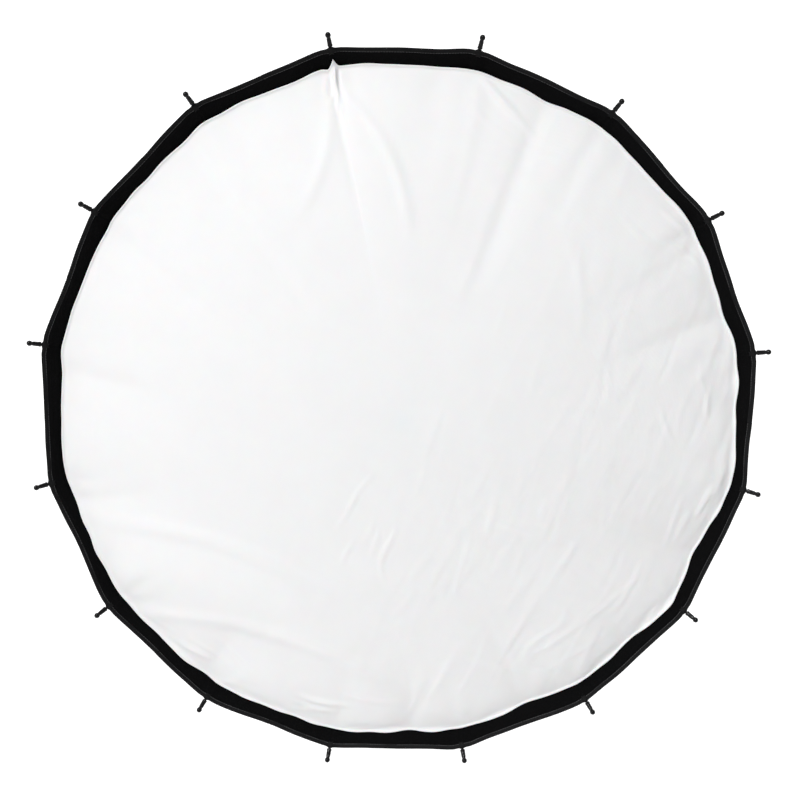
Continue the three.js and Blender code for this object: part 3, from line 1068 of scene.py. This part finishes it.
def add_tube(points, faces, place, axis, profile, segments):
    """A closed shape turned about its own axis, from (radius, height) points."""
    side = axis.orthogonal().normalized()
    other = axis.cross(side)
    start = len(points)
    for radius, height in profile:
        for step in range(segments):
            angle = 2 * math.pi * step / segments
            spread = side * math.cos(angle) + other * math.sin(angle)
            points.append(place + axis * height + spread * radius)
    faces += grid_faces(len(profile), segments, True, start)
    last = start + (len(profile) - 1) * segments
    faces.append(tuple(reversed(range(start, start + segments))))
    faces.append(tuple(range(last, last + segments)))


def screw_ring(name, count, radius, depth, axis, head, body, slot):
    """A ring of domed screw heads with a round socket."""
    points, faces = [], []
    rise = 0.45 * head
    for step in range(count):
        place = outward(2 * math.pi * (step + 0.5) / count) * radius - BACK * depth
        dome = [(head, 0), (head, 0.3 * rise), (0.85 * head, 0.8 * rise), (0.5 * head, rise)]
        add_tube(points, faces, place, axis, dome + [(0.5 * head, 0.35 * rise)], 18)
    piece = mesh_piece(name, points, faces, look["steel"], body, slot)
    fix_normals(piece)
    piece.data.set_sharp_from_angle(angle=math.radians(40))


def hub_cuff():
    """The elastic hem that holds the shell on the hub, gathered in small pleats."""
    radius = HUB_RADIUS + 0.3 * MM
    outside = ((0, 13), (2.4, 12), (3.4, 14), (3.2, 19), (5.4, 24), (8.9, 28))
    inside = ((7.4, 28.6), (2.4, 22), (0, 20))
    outline = [(radius + rise * MM, depth * MM) for rise, depth in outside + inside]
    tight_rows = (0, len(outline) - 1)

    def gathers(angle, row):
        if row in tight_rows:
            return 0
        return 0.5 * MM * math.sin(angle * CUFF_PLEATS) + 0.6 * MM * around(angle, 9, 1.0)

    turned_piece("hub_cuff", outline, 4 * CUFF_PLEATS, gathers, "shell_nylon")


def lock_knob():
    """A fluted thumbscrew, pointing down out of the hub's wall."""
    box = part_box("rotation_lock_knob")
    middle_y = (box[0][1] + box[1][1]) / 2
    axis = Vector((0, 0, -1))
    place = Vector((0, middle_y, 0))
    outer, inner = -box[0][2], -box[1][2]
    head_radius = (box[1][0] - box[0][0]) / 2
    head = outer - 10 * MM
    points, faces = [], []
    shaft = [(2.4 * MM, inner), (3 * MM, inner + 0.6 * MM), (3 * MM, head + 1 * MM)]
    add_tube(points, faces, place, axis, shaft, 24)
    profile = [(4 * MM, head), (6 * MM, head + 0.4 * MM), (head_radius, head + 1.6 * MM)]
    profile += [(head_radius, outer - 1.4 * MM), (head_radius - 1.2 * MM, outer - 0.2 * MM)]
    profile += [(head_radius - 2.6 * MM, outer), (head_radius - 3.2 * MM, outer - 0.5 * MM)]
    start = len(points)
    flutes, columns = 12, 72
    add_tube(points, faces, place, axis, profile, columns)
    for row in (2, 3):
        for step in range(columns):
            number = start + row * columns + step
            off_axis = points[number] - place
            off_axis.z = 0
            dip = 0.35 * MM * (1 + math.cos(step * flutes * 2 * math.pi / columns))
            points[number] -= off_axis.normalized() * dip
    name = "lock_knob_fluted"
    piece = mesh_piece(name, points, faces, look["hub"], "lock_knob", "knob_plastic")
    fix_normals(piece)
    piece.data.set_sharp_from_angle(angle=math.radians(50))
    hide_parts("rotation_lock_knob")


def hub_details():
    hub_cuff()
    lock_knob()
    clamp_front = -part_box("adapter_clamp_ring")[0][1]
    screw_ring("housing_screws", 8, 76 * MM, FLANGE_FRONT, BACK, 2.6 * MM, "hub", "hub_plastic")
    screw_ring("cover_screws", 16, 75 * MM, COVER_FRONT, -BACK, 1.5 * MM, "hub", "hub_plastic")
    screw_ring("clamp_screws", 6, 51 * MM, clamp_front, -BACK, 2.2 * MM, "adapter", "cast_alloy")


def rod_tip(index):
    """A glossy moulded cap: a tapered sleeve with a ring at its foot, a neck, and the ball."""
    start = ROD_LENGTH + 0.6 * MM
    slope = slope_at(start + TIP_REACH / 2)
    middle = TIP_REACH - 0.6 * MM
    sleeve = ((2.7, 0.2), (3.1, 0.5), (3.2, 1.6), (2.9, 2.2), (2.85, 6))
    profile = [(radius * MM, height * MM) for radius, height in sleeve]
    profile += [(2.7 * MM, middle - 4.4 * MM), (2.3 * MM, middle - 3.2 * MM)]
    for angle in even(math.radians(-46), math.radians(86), 9):
        profile.append((BALL_RADIUS * math.cos(angle), middle + BALL_RADIUS * math.sin(angle)))
    direction = outward(rod_angle(index)) * math.sin(slope) - BACK * math.cos(slope)
    points, faces = [], []
    add_tube(points, faces, rod_point(index, start), direction, profile, 24)
    name = f"tip_{index + 1:02d}"
    piece = mesh_piece(name, points, faces, look["tip"], ROD_NAMES[index], "tip_plastic")
    fix_normals(piece)
    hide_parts(f"rod_tip_{index + 1:02d}")


for number in range(RODS):
    rod_tip(number)


def finish_cad_node(node, material, width):
    """A CAD node whose shape is right: its material and soft edges."""
    piece = frame["nodes"][node]
    piece.data.materials.clear()
    piece.data.materials.append(material)
    piece.data.polygons.foreach_set("use_smooth", [True] * len(piece.data.polygons))
    soften(piece, width)


for number in range(1, RODS + 1):
    finish_cad_node(f"rod_{number:02d}", look["rod"], 0.1 * MM)
    finish_cad_node(f"rod_bracket_{number:02d}", look["bracket"], 0.35 * MM)
for node, finish, width in (
    ("hinge_ring", "steel", 0.1 * MM),
    ("hub_rear_housing", "hub", 0.5 * MM),
    ("hub_front_cover", "hub", 0.4 * MM),
    ("sync_collar", "collar", 0.5 * MM),
    ("bayonet_adapter", "alloy", 0.4 * MM),
    ("adapter_clamp_ring", "alloy", 0.4 * MM),
):
    finish_cad_node(node, look[finish], width)
hub_details()

# ---- Seams ----


def stitch_profile(size):
    """(shift, lift) across a thread: low, high and low."""
    return (-size, 0), (0, size), (size, 0)


def add_stitch(points, faces, sections):
    """One raised stitch, from its two end sections of three points."""
    start = len(points)
    for section in sections:
        points.extend(section)
    faces.append((start, start + 3, start + 4, start + 1))
    faces.append((start + 1, start + 4, start + 5, start + 2))


def hem_highlight_stitches(index, side):
    """A row of grey thread along the inside of the mouth's hem, just outside the loop tape. Its grey
    is a painted highlight, in place of the light that the hem's inner fold catches.
    """
    points, faces = [], []
    d = ROD_LENGTH - HEM_WIDTH + 1.3 * MM
    pitch, length = 3.2 * MM, 2.6 * MM
    surface, ridge = -1.75 * MM, -1.8 * MM

    def section(w):
        return [
            wall_point(index, side, w, d + shift, surface - lift - sag(w, d), ridge)
            for shift, lift in stitch_profile(0.4 * MM)
        ]

    for number in range(int(half_width(d) / pitch)):
        first = number * pitch + 0.3 * MM
        add_stitch(points, faces, (section(first), section(first + length)))
    letter = "a" if side > 0 else "b"
    name = f"hem_thread_{index + 1:02d}{letter}"
    # The grey of this thread is a painted highlight along the hem's inner edge.
    piece = mesh_piece(name, points, faces, look["thread"], ROD_NAMES[index], "shell_nylon")
    fold_into_pleat(piece, index, side)


def corner_tab(index):
    """A small webbing patch with a bar tack, sewn over the corner where the rod comes out."""
    points, faces = [], []
    widths = even(-2.8 * MM, 2.8 * MM, 7)
    distances = even(ROD_LENGTH - 7 * MM, ROD_LENGTH - 0.8 * MM, 9)
    for step, d in enumerate(distances):
        for w in widths:
            side = 1 if w >= 0 else -1
            bar = 0.35 * MM * (step % 2)
            edge = 0.5 * MM * (abs(w) > 2.5 * MM or step in (0, 8))
            points.append(wall_point(index, side, abs(w), d, -3.2 * MM - bar + edge, -1.6 * MM))
    faces = grid_faces(len(distances), len(widths))
    name = f"corner_tab_{index + 1:02d}"
    tab = mesh_piece(name, points, faces, look["tab"], ROD_NAMES[index], "shell_nylon")
    face_towards(tab, -BACK)


def channel_stitches(index):
    """Two rows of stitching, one on each side of the rod, on the outside of the shell."""
    points, faces = [], []
    first, pitch, length = 96 * MM, 4 * MM, 2.4 * MM
    count = int((ROD_LENGTH - first - pitch) / pitch)

    def section(side, d):
        surface = 0.85 * MM - sag(SEAM_HALF, d) + puckers(index, SEAM_HALF, d, 0.0)
        return [
            wall_point(index, side, SEAM_HALF + shift, d, surface + lift, 0)
            for shift, lift in stitch_profile(0.35 * MM)
        ]

    for side in (1, -1):
        for number in range(count):
            d = first + number * pitch
            add_stitch(points, faces, (section(side, d), section(side, d + length)))
    name = f"seam_stitches_{index + 1:02d}"
    mesh_piece(name, points, faces, look["thread"], ROD_NAMES[index], "shell_nylon")


for number in range(RODS):
    corner_tab(number)
    channel_stitches(number)
    hem_highlight_stitches(number, 1)
    hem_highlight_stitches(number, -1)

look_through_camera()
set_stage()
